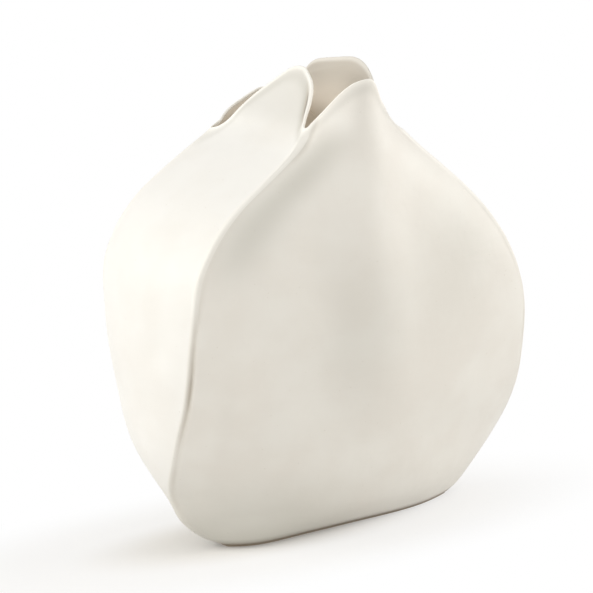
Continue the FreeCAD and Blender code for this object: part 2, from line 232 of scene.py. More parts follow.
class Face:
    """The front (side -1) or back (side 1) panel as functions of its share across, u from
    -1 at its left seam to 1 at its right seam, and the height."""

    def __init__(self, side, swell):
        self.side = side
        self.width = up_curve(HALF_WIDTH)
        self.depth = up_curve(HALF_DEPTH)
        self.swell = up_curve(swell)
        self.wall = up_curve(wall_width(HALF_DEPTH + swell))

    def base(self, u, z):
        """Plain curve: y falls from the middle as the share across to a power, 3 at the foot
        and 2 from FULL_CORNERS up. Also gives the outward normal in the level plane."""
        w = self.width(z)
        s = self.swell(z)
        x = u * (w - STRIP)
        t = np.abs(x) / w
        power = 3 - rise(z, 0, FULL_CORNERS)
        y = self.side * (self.depth(z) + s * (1 - t ** power))
        nx = s * power * t ** (power - 1) * np.sign(x) / w
        ny = self.side + 0 * x
        length = np.hypot(nx, ny)
        return x, y, nx / length, ny / length

    def from_seams(self, u, z):
        """Distances across the slab from the crowns of its left and right seams."""
        run = (self.width(z) - STRIP) * np.hypot(1, 2 * self.swell(z) / self.width(z))
        return (1 + u) * run + STRIP, (1 - u) * run + STRIP

    def inner_corner(self, z, pinch):
        """Depth of the hollow's corner beside a seam."""
        slant = 2 * self.swell(z) / self.width(z)
        return self.depth(z) + slant * pinch - self.wall(z) * np.hypot(1, slant)

    def inside(self, u, z):
        """The hollow side: a parabola between the corners beside the two seams."""
        pinches = left.pinch(z), right.pinch(z)
        xs = pinches[0] - self.width(z), self.width(z) - pinches[1]
        ys = [self.side * self.inner_corner(z, pinch) for pinch in pinches]
        middle = self.side * (self.depth(z) + self.swell(z) - self.wall(z))
        return place(parabola(u, xs[0], 0, xs[1]), parabola(u, ys[0], middle, ys[1]), z)

    def outside(self, u, z):
        """The modelled outside: the plain curve moved along its normal by the relief."""
        x, y, nx, ny = self.base(u, z)
        relief = self.relief(*self.from_seams(u, z), x, z)
        return place(x + nx * relief, y + ny * relief, z)

    def marks(self, u, z):
        """How strongly each point lies on the crown of a seam, in the line beside it and in
        the painted shade."""
        from_left, from_right = self.from_seams(u, z)
        near = np.minimum(from_left, from_right)
        line = np.where(u < 0, tooled_line(near, z, -1), tooled_line(near, z, 1))
        x = u * (self.width(z) - STRIP)
        shade = foot_shade(x, z)
        if self.side < 0:
            shoulder = hump(from_left - 20, 19) * rise(z, 165, 215) * (1 - rise(z, 256, 276))
            shade = shade + SHOULDER_SHADE * shoulder
            shade = shade + MIDDLE_SHADE * patch(x, z, centre=(-20, 140), reach=(36, 52))
            shade = shade + RIGHT_SHADE * patch(x, z, centre=(66, 180), reach=(42, 44))
        return crown_mark(near, z), line, shade + 0 * line

    def relief(self, from_left, from_right, x, z):
        """How far the modelled face stands out from the plain curve, from its distances to
        the crowns of its left and right seams: half of each bead, the tooled lines beside
        them and, in front, the ridge below the petal with its crest and hollows, and the roll
        beside the lower left seam."""
        relief = bead_height(z) * (hump(from_left, BEAD_REACH) + hump(from_right, BEAD_REACH))
        relief = relief - tooled_line(from_left, z, -1) - tooled_line(from_right, z, 1)
        if self.side < 0:
            ridge = x + 3 - 0.01 * (z - 150)
            fold = RIDGE_REACH - np.sqrt(ridge ** 2 + RIDGE_ROUND ** 2)
            slope = RIDGE_SLOPE * fold * rise(fold, 0, 30) * rise(z, 60, 150)
            relief = relief + slope * (1 - 0.6 * rise(z, 215, 270))
            crest = CREST * hump(ridge - 6, 15) * rise(z, 110, 190)
            relief = relief + crest * (1 - 0.4 * rise(z, 230, 270))
            relief = relief + ROLL * patch(from_left, z, centre=(27, 82), reach=(16, 46))
            relief = relief - LEFT_HOLLOW * patch(ridge, z, centre=(-34, 165), reach=(26, 70))
            leaning = ridge - 0.25 * (z - 180)
            relief = relief - RIGHT_HOLLOW * patch(leaning, z, centre=(62, 185), reach=(22, 34))
        away = rise(np.minimum(from_left, from_right), 4, 30)
        return relief + away * uneven(x, self.side * FACE_REACH, z, 11 + self.side)


# The left petal's curled front flange, the soft hollow and the groove beside it, and the dent
# of a fingertip lower down. Then how dark the painted shade in the groove is, and the painted
# shade on the petal and beside its flange.
CURL, FLANGE_HOLLOW, GROOVE, DENT = 2.8, 0.5, 2.0, 1.6
GROOVE_SHADE, PETAL_SHADE, FLANGE_SHADE = 3.6, 0.45, 0.4
# Front edge of the left petal: heights, and shares across there.
FLANGE_HEIGHTS = (271, 275.3, 278.5, 287, 292.5, 296)
FLANGE_SHARES = (-1, -0.89, -0.82, -0.63, -0.5, -0.35)


class Gusset:
    """The left (side -1) or right (side 1) gusset as functions of its share across, v from
    -1 at its front seam to 1 at its back seam, and the height."""

    def __init__(self, side, width, swell):
        self.side = side
        self.width = up_curve(width)
        self.depth = up_curve(HALF_DEPTH)
        self.swell = up_curve(swell)
        pinch = wall_width(width + swell)
        pinch[HEIGHTS <= TIP] = CORNER_FILL
        self.pinch = up_curve(pinch)

    def base(self, v, z):
        """Plain curve: a parabola across. Also gives the outward normal in the level plane."""
        d = self.depth(z)
        s = self.swell(z)
        y = v * (d - STRIP)
        x = self.side * (self.width(z) + s * (1 - (y / d) ** 2))
        nx = self.side + 0 * y
        ny = 2 * s * y / d ** 2
        length = np.hypot(nx, ny)
        return x, y, nx / length, ny / length

    def from_seams(self, v, z):
        """Distances across the slab from the crowns of its front and back seams."""
        run = self.depth(z) - STRIP
        return (1 + v) * run + STRIP, (1 - v) * run + STRIP

    def curl(self, v, z):
        """How far the front edge of the left petal is drawn forwards, as a thin flange."""
        return -CURL * hump(z - 289, 9) * rise(-v, 0.1, 1) if self.side < 0 else 0

    def inside(self, v, z):
        """The hollow side: a parabola between the corners beside the two seams."""
        pinch = self.pinch(z)
        near = -front.inner_corner(z, pinch)
        far = back.inner_corner(z, pinch)
        x = self.side * (self.width(z) - pinch + self.swell(z) * (1 - v * v))
        return place(x, parabola(v, near, 0, far) + self.curl(v, z), z)

    def outside(self, v, z):
        """The modelled outside: the plain curve moved along its normal by the relief."""
        x, y, nx, ny = self.base(v, z)
        relief = self.relief(*self.from_seams(v, z), y, z)
        return place(x + nx * relief, y + ny * relief + self.curl(v, z), z)

    def from_flange(self, from_front, z):
        """Distance from the front edge of the left petal, which leaves the seam at the notch
        and runs back as it climbs."""
        edge = np.interp(z, FLANGE_HEIGHTS, FLANGE_SHARES)
        return from_front - STRIP - (1 + edge) * (self.depth(z) - STRIP)

    def groove(self, from_flange, z):
        """The groove behind the flange, with a height of 1."""
        return patch(from_flange, z, centre=(4.2, 280), reach=(1.3, 7.5))

    def marks(self, v, z):
        """How strongly each point lies on the crown of a seam, in the line beside it and in
        the painted shade."""
        from_front, from_back = self.from_seams(v, z)
        near = np.minimum(from_front, from_back)
        line = tooled_line(-near, z, self.side)
        shade = leaf_shade(self.side, z)
        if self.side < 0:
            from_flange = self.from_flange(from_front, z)
            line = line + GROOVE_SHADE * self.groove(from_flange, z)
            shade = shade + PETAL_SHADE * rise(z, 254, 276)
            shade = shade + FLANGE_SHADE * patch(from_flange, z, centre=(5, 281), reach=(3.5, 11))
        return crown_mark(near, z), line, shade + 0 * line

    def relief(self, from_front, from_back, y, z):
        """Half of each bead and its tooled line and, on the left gusset, the dent of a
        fingertip and the hollow and groove beside the flange of its petal."""
        relief = bead_height(z) * (hump(from_front, BEAD_REACH) + hump(from_back, BEAD_REACH))
        relief = relief - tooled_line(-from_front, z, self.side) - tooled_line(-from_back, z, self.side)
        if self.side < 0:
            relief = relief - DENT * patch(y, z, centre=(-20, 134), reach=(12, 11))
            from_flange = self.from_flange(from_front, z)
            hollow = patch(from_flange, z, centre=(6.5, 286), reach=(4, 14))
            relief = relief - FLANGE_HOLLOW * hollow
            relief = relief - GROOVE * self.groove(from_flange, z)
        away = rise(np.minimum(from_front, from_back), 4, 25)
        return relief + away * uneven(self.side * SIDE_REACH, y, z, 21 + self.side)


# How far a seam's inner edge reaches, in x and in y, at the corner of the hollow.
INNER_EDGE = 0.3


class Seam:
    """The seam between a panel and a gusset as functions of its share across, t from 0 at
    the panel to 1 at the gusset, and the height."""

    def __init__(self, face, gusset):
        self.face = face
        self.gusset = gusset

    def outside(self, t, z):
        """The rounded outside: a quadratic curve, whose control point is where the tangents
        of the two slabs meet, with the relief of the slab that each half belongs to."""
        face = self.face
        gusset = self.gusset
        fx, fy, fnx, fny = face.base(gusset.side + 0 * z, z)
        gx, gy, gnx, gny = gusset.base(face.side + 0 * z, z)
        reach = ((gx - fx) * gnx + (gy - fy) * gny) / (fny * gnx - fnx * gny)
        x = bend(t, fx, fx + fny * reach, gx)
        y = bend(t, fy, fy - fnx * reach, gy)
        nx = (1 - t) * fnx + t * gnx
        ny = (1 - t) * fny + t * gny
        length = np.hypot(nx, ny)
        near = STRIP * np.abs(1 - 2 * t)
        face_far = 2 * face.width(z)
        gusset_far = 2 * gusset.depth(z) - near
        face_pair = (near, face_far) if gusset.side < 0 else (face_far, near)
        gusset_pair = (near, gusset_far) if face.side < 0 else (gusset_far, near)
        relief = np.where(t < 0.5, face.relief(*face_pair, x, z), gusset.relief(*gusset_pair, y, z))
        return place(x + nx / length * relief, y + ny / length * relief, z)

    def inside(self, t, z):
        """The narrow inner edge, up the corner of the hollow."""
        side, face_side = self.gusset.side, self.face.side
        pinch = self.gusset.pinch(z)
        x = side * (self.face.width(z) - pinch)
        y = face_side * self.face.inner_corner(z, pinch)
        across = INNER_EDGE * (t - 0.5)
        return place(x + side * across, y - face_side * across, z)

    def marks(self, t, z):
        """How strongly each point lies on the crown, in the line beside it and in the painted
        shade."""
        side = self.gusset.side
        near = STRIP * (1 - 2 * t)
        shade = (1 - t) * foot_shade(SIDE_REACH * side, z) + t * leaf_shade(side, z)
        return crown_mark(near, z), tooled_line(near, z, side), shade


front = Face(-1, FACE_SWELL)
back = Face(1, with_own(FACE_SWELL, 13, 9))
left = Gusset(-1, with_own(HALF_WIDTH, 31.5, 3), with_own(SIDE_SWELL, -3, -2))
right = Gusset(1, HALF_WIDTH, SIDE_SWELL)
front_left, front_right = Seam(front, left), Seam(front, right)
back_left, back_right = Seam(back, left), Seam(back, right)


def shares_across(length, fine, coarse, border, low=-1.0, high=1.0):
    """Shares from low to high across a slab of the given length, close together within
    border of its edges and further apart in the middle."""
    s = np.linspace(0, length, 4000)
    from_edge = np.minimum(s, length - s)
    spacing = fine + (coarse - fine) * rise(from_edge, 0.5 * border, 2 * border)
    count = np.concatenate([[0], np.cumsum(np.diff(s) / spacing[1:])])
    steps = 2 * int(count[-1] / 2) + 2
    return low + (high - low) * np.interp(np.linspace(0, count[-1], steps + 1), count, s) / length


def closed_mesh(name, points, quads, triangles, marks):
    """A mesh object of points in millimetres, with its faces turned to point outwards (the
    volume inside them, summed from the origin, is then positive) and shaded smooth. Each
    mark is kept as a value at every point, for the glaze to read."""
    a, b, c, d = (points[quads[:, i]] for i in range(4))
    volume = np.einsum("ij,ij->", a, np.cross(b, c)) + np.einsum("ij,ij->", a, np.cross(c, d))
    if volume < 0:
        quads, triangles = quads[:, ::-1], triangles[:, ::-1]
    mesh = bpy.data.meshes.new(name)
    mesh.from_pydata((points * MM).tolist(), [], quads.tolist() + triangles.tolist())
    mesh.shade_smooth()
    mesh.set_sharp_from_angle(angle=math.radians(40))
    for mark, values in marks.items():
        kept = mesh.attributes.new(mark, "FLOAT", "POINT")
        kept.data.foreach_set("value", np.asarray(values, np.float32).ravel())
    piece = bpy.data.objects.new(name, mesh)
    bpy.context.scene.collection.objects.link(piece)
    return piece


def shell(name, rings, pointed, marks):
    """A closed mesh from rings of points, rows x points x 3: quads between each ring and the
    next, and rungs that join the two halves of the first and of the last ring. In a pointed
    ring point 0 is its own opposite; otherwise it lies opposite the last point."""
    rows, count = rings.shape[:2]
    number = np.arange(rows * count).reshape(rows, count)
    around = np.roll(number, -1, axis=1)
    quads = [np.stack([number[:-1], around[:-1], around[1:], number[1:]], axis=-1).reshape(-1, 4)]
    triangles = np.zeros((0, 3), int)
    first = 1 if pointed else 0
    i = np.arange(first, count // 2 - 1)
    far = count - 1 - i + first
    for ring, way in ((number[0], -1), (number[-1], 1)):
        rungs = np.stack([ring[i], ring[i + 1], ring[far - 1], ring[far % count]], axis=1)
        quads.append(rungs[:, ::way])
        if pointed:
            half = count // 2
            tips = np.array([ring[[0, 1, count - 1]], ring[[half - 1, half, half + 1]]])
            triangles = np.concatenate([triangles, tips[:, ::way]])
    return closed_mesh(name, rings.reshape(-1, 3), np.concatenate(quads), triangles, marks)


def outline(z, across, corner):
    """The outline of the whole vase at low heights: the left corner's middle, the front, the
    right corner and back round behind, with as many points in front as behind."""
    z = z[:, None]
    u = across[None, 1:-1]
    t = corner[None, :]
    v = np.array([[-0.5, 0, 0.5]])
    runs = [
        left.outside(v[:, 1::-1], z),
        front_left.outside(t[:, ::-1], z),
        front.outside(u, z),
        front_right.outside(t, z),
        right.outside(v, z),
        back_right.outside(t[:, ::-1], z),
        back.outside(u[:, ::-1], z),
        back_left.outside(t, z),
        left.outside(v[:, 2:], z),
    ]
    return np.concatenate(runs, axis=1)


# The foot's rounding, and the half width of the painted contact shadow along its lower edge.
FOOT_ROUND, FOOT_RIM = 1.5, 2.6
across_foot = shares_across(length=240, fine=0.7, coarse=3.0, border=9)
across_strip = np.linspace(0, 1, 13)
rings = outline(np.linspace(SILL, 0, 9), across_foot, across_strip)
along = np.roll(rings[-1], -1, axis=0) - np.roll(rings[-1], 1, axis=0)
inward = np.stack([-along[:, 1], along[:, 0], 0 * along[:, 0]], axis=-1)
inward /= np.linalg.norm(inward, axis=1, keepdims=True)
turn = np.linspace(0, math.pi / 2, 5)[:, None, None]
rounding = rings[-1] + inward * FOOT_ROUND * np.sin(turn)
rings[:, :, 2] = FOOT_ROUND + rings[:, :, 2] * (SILL - FOOT_ROUND) / SILL
rounding[:, :, 2] = FOOT_ROUND * np.cos(turn[:, :, 0])
foot_rings = np.concatenate([rings, rounding[1:]])
foot_x, foot_z = foot_rings[:, :, 0], foot_rings[:, :, 2]
# The rim mark here paints a contact shadow along the lower edge, and the shade mark painted shade.
foot_marks = {"rim": 2 * hump(foot_z, FOOT_RIM), "shade": foot_shade(foot_x, foot_z)}
foot = shell("foot_slab", foot_rings, True, foot_marks)


class Wire:
    """A value in a glaze. Sums and products with it add Math nodes."""

    def __init__(self, glaze, socket):
        self.glaze = glaze
        self.socket = socket

    def math(self, operation, first, second):
        return self.glaze.node("ShaderNodeMath", {0: first, 1: second}, operation=operation)

    def __add__(self, other):
        return self.math("ADD", self, other)

    def __sub__(self, other):
        return self.math("SUBTRACT", self, other)

    def __rsub__(self, other):
        return self.math("SUBTRACT", other, self)

    def __mul__(self, other):
        return self.math("MULTIPLY", self, other)

    __radd__, __rmul__ = __add__, __mul__


class Glaze:
    """A material, and the one way its nodes are made."""

    def __init__(self, name):
        self.material = bpy.data.materials.new(name)
        self.material.use_nodes = True
        self.tree = self.material.node_tree
        self.tree.nodes.clear()

    def node(self, kind, values, output=0, **settings):
        made = self.tree.nodes.new(kind)
        for setting, value in settings.items():
            setattr(made, setting, value)
        for socket, value in values.items():
            if isinstance(value, Wire):
                self.tree.links.new(value.socket, made.inputs[socket])
            else:
                made.inputs[socket].default_value = value
        return Wire(self, made.outputs[output]) if made.outputs else None

    def mark(self, name):
        """One of the values kept at the points of a piece."""
        return self.node("ShaderNodeAttribute", {}, "Fac", attribute_name=name)

    def noise(self, where, scale, detail=2.0):
        return self.node("ShaderNodeTexNoise", {"Vector": where, "Scale": scale, "Detail": detail})

    def between(self, value, low, high):
        """0 below low, 1 above high and smooth between."""
        return self.node("ShaderNodeMapRange", {0: value, 1: low, 2: high},
                         interpolation_type="SMOOTHSTEP")

    def blend(self, share, first, second):
        """Two colours mixed by a share from 0 to 1."""
        return self.node("ShaderNodeMix", {0: share, 6: first, 7: second}, 2, data_type="RGBA")


# Colours in the porcelain, apart from its body: the sponge's pale strokes, painted shade,
# painted shade in a tooled line and at the bottom of a deep one, a speck, the bare clay of the
# hollow and painted shade on it near the lips, and the light that comes through the walls.
SPONGED = (0.95, 0.93, 0.88, 1)
PAINTED_SHADE = (0.66, 0.64, 0.575, 1)
LINE_SHADE = (0.62, 0.57, 0.49, 1)
DEEP_LINE_SHADE = (0.40, 0.37, 0.33, 1)
SPECK = (0.50, 0.42, 0.32, 1)
BARE_CLAY = (0.93, 0.86, 0.75, 1)
HOLLOW_LIP_SHADE = (0.575, 0.525, 0.445, 1)
THROUGH_WALLS = (0.050, 0.048, 0.045, 1)
BLACK = (0, 0, 0, 1)
# Noise scales, about the number of waves to the metre, from clouds down to grain.
CLOUD_SCALE, WAVE_SCALE, STROKE_SCALE, SPECK_SCALE, GRAIN_SCALE = 15.0, 48.0, 190.0, 520.0, 900.0


def porcelain(name, body, clouded, start, roughness=0.5, rim_wear_and_painted_light=(0.97, 0.945, 0.88)):
    """Satin porcelain: the clay's own warm white, clouded a little darker by the kiln and
    greyed with painted shade where its shade is marked, paler and smoother along beads and lips
    where its glaze wore thin and, on the lips, with a painted highlight (a darker rim colour
    paints shade there instead), darker with painted shade in the tooled lines, with a few fine
    specks. The hollow is bare, with painted shade near the lips and a faint glow further down.
    The surface keeps soft finger waves, the level strokes of a damp sponge and the grain of the
    clay. The clouds begin at start."""
    glaze = Glaze(name)
    place_at = glaze.node("ShaderNodeTexCoord", {}, "Object")
    spot = glaze.node("ShaderNodeVectorMath", {0: place_at, 1: start}, operation="ADD")
    stroke = glaze.node("ShaderNodeVectorMath", {0: spot, 1: (0.22, 0.22, 1)}, operation="MULTIPLY")
    clouds = glaze.noise(spot, CLOUD_SCALE)
    waves = glaze.noise(spot, WAVE_SCALE)
    strokes = glaze.noise(stroke, STROKE_SCALE, 3.0)
    grain = glaze.noise(spot, GRAIN_SCALE, 3.0)
    specks = glaze.between(glaze.noise(spot, SPECK_SCALE, 1.0), 0.76, 0.82)
    rim, crown, line = glaze.mark("rim"), glaze.mark("crown"), glaze.mark("line")
    hollow, shade = glaze.mark("hollow"), glaze.mark("shade")
    mottle = glaze.between(clouds * 0.7 + waves * 0.3, 0.38, 0.66)
    colour = glaze.blend(mottle, (*body, 1), (*clouded, 1))
    colour = glaze.blend(strokes * 0.10, colour, SPONGED)
    # Painted shade, where the shade mark is set.
    colour = glaze.blend(shade * (0.9 + clouds * 0.2), colour, PAINTED_SHADE)
    # Painted shade in the tooled lines and in the groove behind the petal's flange, darkest where deep.
    colour = glaze.blend(line * (0.35 + waves * 0.5), colour, LINE_SHADE)
    colour = glaze.blend(glaze.between(line, 1.2, 2.4) * 0.8, colour, DEEP_LINE_SHADE)
    # Rims: paler where the glaze wore thin, with a painted highlight on the lips; a dark rim colour
    # paints shade there instead: a contact shadow on the foot, shade on the right petal's lip.
    colour = glaze.blend(rim * 0.8 + crown * 0.15, colour, (*rim_wear_and_painted_light, 1))
    colour = glaze.blend(specks * 0.22, colour, SPECK)
    # Painted shade on the bare clay of the hollow, near the lips.
    high = glaze.between(glaze.node("ShaderNodeSeparateXYZ", {0: place_at}, "Z"), 0.268, 0.292)
    bare = glaze.blend(high, BARE_CLAY, HOLLOW_LIP_SHADE)
    colour = glaze.blend(hollow * (0.75 + clouds * 0.3), colour, bare)
    glow = glaze.blend(hollow * (1 - high), BLACK, THROUGH_WALLS)
    sheen = (roughness - 0.06) + clouds * 0.10 + grain * 0.06
    sheen = sheen - crown * 0.03 - rim * 0.06 + hollow * 0.15
    height = waves * 0.62 + strokes * 0.16 + grain * 0.035 - specks * 0.05
    bump = {"Strength": 0.6, "Distance": 0.0012, "Height": height}
    normal = glaze.node("ShaderNodeBump", bump, "Normal")
    surface = glaze.node("ShaderNodeBsdfPrincipled", {
        "Base Color": colour, "Roughness": sheen, "Normal": normal, "IOR": 1.48,
        "Diffuse Roughness": 0.3, "Specular IOR Level": 0.42,
        "Emission Color": glow, "Emission Strength": 1.0,
    })
    glaze.node("ShaderNodeOutputMaterial", {0: surface})
    return glaze.material


def finish(piece, node, material):
    """Gives a piece its glaze, hangs it under the root body and hides the imported solid that it
    replaces.
    """
    piece.data.materials.append(material)
    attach(piece, "root")
    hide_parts(node)


# The foot's dark rim colour is a painted contact shadow along its lower edge.
finish(foot, "base_slab",
       porcelain("foot_porcelain", (0.88, 0.85, 0.79), (0.84, 0.80, 0.73), start=(0.9, 0.1, 0.3),
                 roughness=0.58, rim_wear_and_painted_light=(0.34, 0.28, 0.21)))

# Front and back panels. The two big bell-shaped slabs, rolled out under 5 mm thick, cut to
# shape and pressed outwards from inside. Each runs on above the seams into a free petal with
# a thinned and rounded lip; the back petal is low.

# Body and clouded colours: those of the front and the corners, and those of the back panel
# and the right gusset.
FRONT_WHITE, FRONT_CLOUD = (0.91, 0.885, 0.825), (0.875, 0.84, 0.775)
BACK_WHITE, BACK_CLOUD = (0.91, 0.885, 0.83), (0.875, 0.845, 0.78)
# A lip's blur is summed over this many steps each way, of this share across.
BLUR_STEPS, BLUR_STEP = 150, 0.001


def lip_line(columns, shares, heights, softness=0.035):
    """Height of a lip over the columns of a slab: straight runs between heights at shares
    across, blurred by a bell curve of the given softness, with their ends kept."""
    fine = np.linspace(-1.2, 1.2, 2401)
    plain = np.interp(fine, shares, heights)
    reach = np.arange(-BLUR_STEPS, BLUR_STEPS + 1) * BLUR_STEP
    weights = np.exp(-0.5 * (reach / softness) ** 2)
    padded = np.pad(plain, BLUR_STEPS, mode="edge")
    soft = np.convolve(padded, weights / weights.sum(), mode="valid")
    hold = rise(np.abs(fine), 0.86, 0.99)
    return np.interp(columns, fine, soft * (1 - hold) + plain * hold)


# Thickness of a lip, half width of the rim, worn paler and with a painted highlight, and the
# painted shade just below it.
THIN_LIP, RIM_REACH, BELOW_LIP_SHADE = 1.9, 1.4, 0.3


def slab(name, surface, lip, columns, bottom, row_step=1.7):
    """A slab of clay: the outside and inside of a surface, both functions of the share across
    and the height, from a level bottom up to the lip, joined over the lip by a half circle.
    The wall is thinned from the hollow side to THIN_LIP as it comes to the lip. Its points
    are marked where they are rim (near the lip), crown, line, hollow and shade."""
    tall = float(np.max(lip)) - bottom
    rows = shares_across(tall, fine=0.6, coarse=row_step, border=8, low=0, high=1)[None, :]
    lip_at = np.asarray(lip)[:, None]
    u = columns[:, None]
    z = bottom + (lip_at - bottom) * rows
    below = lip_at - z
    outer = surface.outside(u, z)
    through = surface.inside(u, z) - outer
    thickness = np.linalg.norm(through, axis=2)
    most = THIN_LIP + 6 * rise(below, 0, 26) + 40 * rise(below, 40, 80)
    inner = outer + through * np.minimum(1, most / thickness)[:, :, None]
    middle = (outer[:, -1] + inner[:, -1]) / 2
    half = (outer[:, -1] - inner[:, -1]) / 2
    radius = np.linalg.norm(half, axis=1, keepdims=True)
    up = np.cross(half, np.gradient(middle, axis=0))
    up *= np.sign(up[:, 2:]) / np.linalg.norm(up, axis=1, keepdims=True)
    level = np.array([0, 0, 1.0])
    from_end = np.minimum(columns - columns[0], columns[-1] - columns)
    near_end = 1 - rise(from_end, 0, 0.12)[:, None]
    up = up * (1 - near_end) + level * near_end
    up -= half * np.sum(up * half, axis=1, keepdims=True) / radius ** 2
    up /= np.linalg.norm(up, axis=1, keepdims=True)
    turn = (np.arange(1, 9) * math.pi / 9)[None, :, None]
    arc = middle[:, None] + half[:, None] * np.cos(turn) + (up * radius)[:, None] * np.sin(turn)
    rim = hump(below, RIM_REACH)
    crown, line, shade = (np.broadcast_to(mark, z.shape) for mark in surface.marks(u, z))
    # Painted shade just below the lip.
    shade = shade + BELOW_LIP_SHADE * hump(below - 5, 3.5)
    on_arc = np.ones(arc.shape[:2])
    off_arc = 0 * on_arc
    off_slab = np.zeros(z.shape)
    parts = {
        "rim": (rim, on_arc, rim[:, ::-1]),
        "crown": (crown, off_arc, off_slab),
        "line": (line, off_arc, off_slab),
        "hollow": (off_slab, off_arc, 1 - rim[:, ::-1]),
        "shade": (shade, off_arc, off_slab),
    }
    marks = {mark: np.concatenate(values, axis=1) for mark, values in parts.items()}
    return shell(name, np.concatenate([outer, arc, inner[:, ::-1]], axis=1), False, marks)


across_face = shares_across(length=270, fine=0.5, coarse=2.8, border=12)
FRONT_LIP = lip_line(
    across_face,
    (-1, -0.97, -0.94, -0.9, -0.8, -0.65, -0.5, -0.35, -0.2, -0.05, 0.08, 0.2, 0.3, 0.45, 0.6, 0.8, 1),
    (272.4, 274.2, 275.7, 278, 283.1, 289, 293.2, 296.3, 297.9, 298.7, 298.7, 295.5, 291.4, 285, 281.2,
     278.4, 276.1))
BACK_LIP = lip_line(
    across_face,
    (-1, -0.9, -0.75, -0.6, -0.45, -0.3, -0.15, 0, 0.15, 0.3, 0.6, 0.9, 1),
    (259.5, 261, 263, 265.2, 267.4, 269.6, 271.8, 274, 276, 277, 274.5, 268.5, 266), 0.06)
finish(slab("front_slab", front, FRONT_LIP, across_face, SILL), "front_panel",
       porcelain("front_porcelain", FRONT_WHITE, FRONT_CLOUD, start=(0.2, 0.5, 0.1)))
finish(slab("back_slab", back, BACK_LIP, across_face, SILL), "back_panel",
       porcelain("back_porcelain", BACK_WHITE, BACK_CLOUD, start=(0.6, 0.2, 0.7)))

# Side gussets. Leaf-shaped slabs let in between the panels, pointed at the lower corners. The
# left one's petal leans in over the mouth; the right one's stands up with a full, square lip.
across_gusset = shares_across(length=112, fine=0.5, coarse=2.0, border=20)
LEFT_LIP = lip_line(
    across_gusset,
    (-1, -0.95, -0.89, -0.82, -0.63, -0.5, -0.35, -0.2, -0.05, 0.1, 0.25, 0.4, 0.55, 0.7, 0.8, 0.9, 1),
    (268.6, 269.6, 273.6, 278.3, 287, 292.5, 296, 299, 299, 297.2, 292.3, 286.3, 279, 266.5, 261, 257.5,
     256.5))
RIGHT_LIP = lip_line(
    across_gusset,
    (-1, -0.9, -0.8, -0.7, -0.6, -0.5, -0.4, -0.3, -0.15, 0, 0.15, 0.3, 0.45, 0.6, 0.7, 0.8, 0.92, 1),
    (274.5, 281, 286.5, 290.8, 293.3, 295.3, 296.8, 298.1, 299.4, 299.8, 299.1, 298.1, 297.2, 296.2, 295,
     291.5, 281, 267))
finish(slab("left_leaf", left, LEFT_LIP, across_gusset, TIP), "left_gusset",
       porcelain("left_porcelain", (0.915, 0.90, 0.855), (0.885, 0.863, 0.81), start=(0.1, 0.8, 0.4)))
# The right petal's darker rim colour is painted shade on the lip that the window lamp lights.
finish(slab("right_leaf", right, RIGHT_LIP, across_gusset, TIP), "right_gusset",
       porcelain("right_porcelain", BACK_WHITE, BACK_CLOUD, start=(0.7, 0.6, 0.9),
                 rim_wear_and_painted_light=(0.78, 0.745, 0.67)))

# Raised seams. A coil of soft clay pressed over each joint between a panel and a gusset and
# drawn down with a tool, so it stands up as a bead above and fades into a line lower down.

SEAM_WHITE, SEAM_CLOUD = (0.925, 0.905, 0.85), (0.89, 0.865, 0.80)
# Each seam with the heights of its lip at the panel, of the point that the lip is drawn to
# between the petals, and at the gusset. Last is where its clouds start.
SEAMS = {
    "front_left": (front_left, FRONT_LIP[0], 267, LEFT_LIP[0], 0.15),
    "front_right": (front_right, FRONT_LIP[-1], 272.5, RIGHT_LIP[0], 0.35),
    "back_right": (back_right, BACK_LIP[-1], 264.5, RIGHT_LIP[-1], 0.55),
    "back_left": (back_left, BACK_LIP[0], 255.5, LEFT_LIP[-1], 0.75),
}
for corner_name, (seam, face_end, dip, gusset_end, start) in SEAMS.items():
    dipped = bend(across_strip, face_end, dip, gusset_end)
    bead = slab(corner_name + "_bead", seam, dipped, across_strip, TIP, row_step=1.5)
    finish(bead, corner_name + "_seam",
           porcelain(corner_name + "_porcelain", SEAM_WHITE, SEAM_CLOUD, (start, 0.3, start)))

# Pinched corners. Below the gussets' points the front and back panels close on each other,
# and the clay between them is pinched into one rounded edge.

# How strongly the edge is worn paler, and how much less painted shade it takes.
NOSE_CROWN, NOSE_PALER = 0.35, 0.3


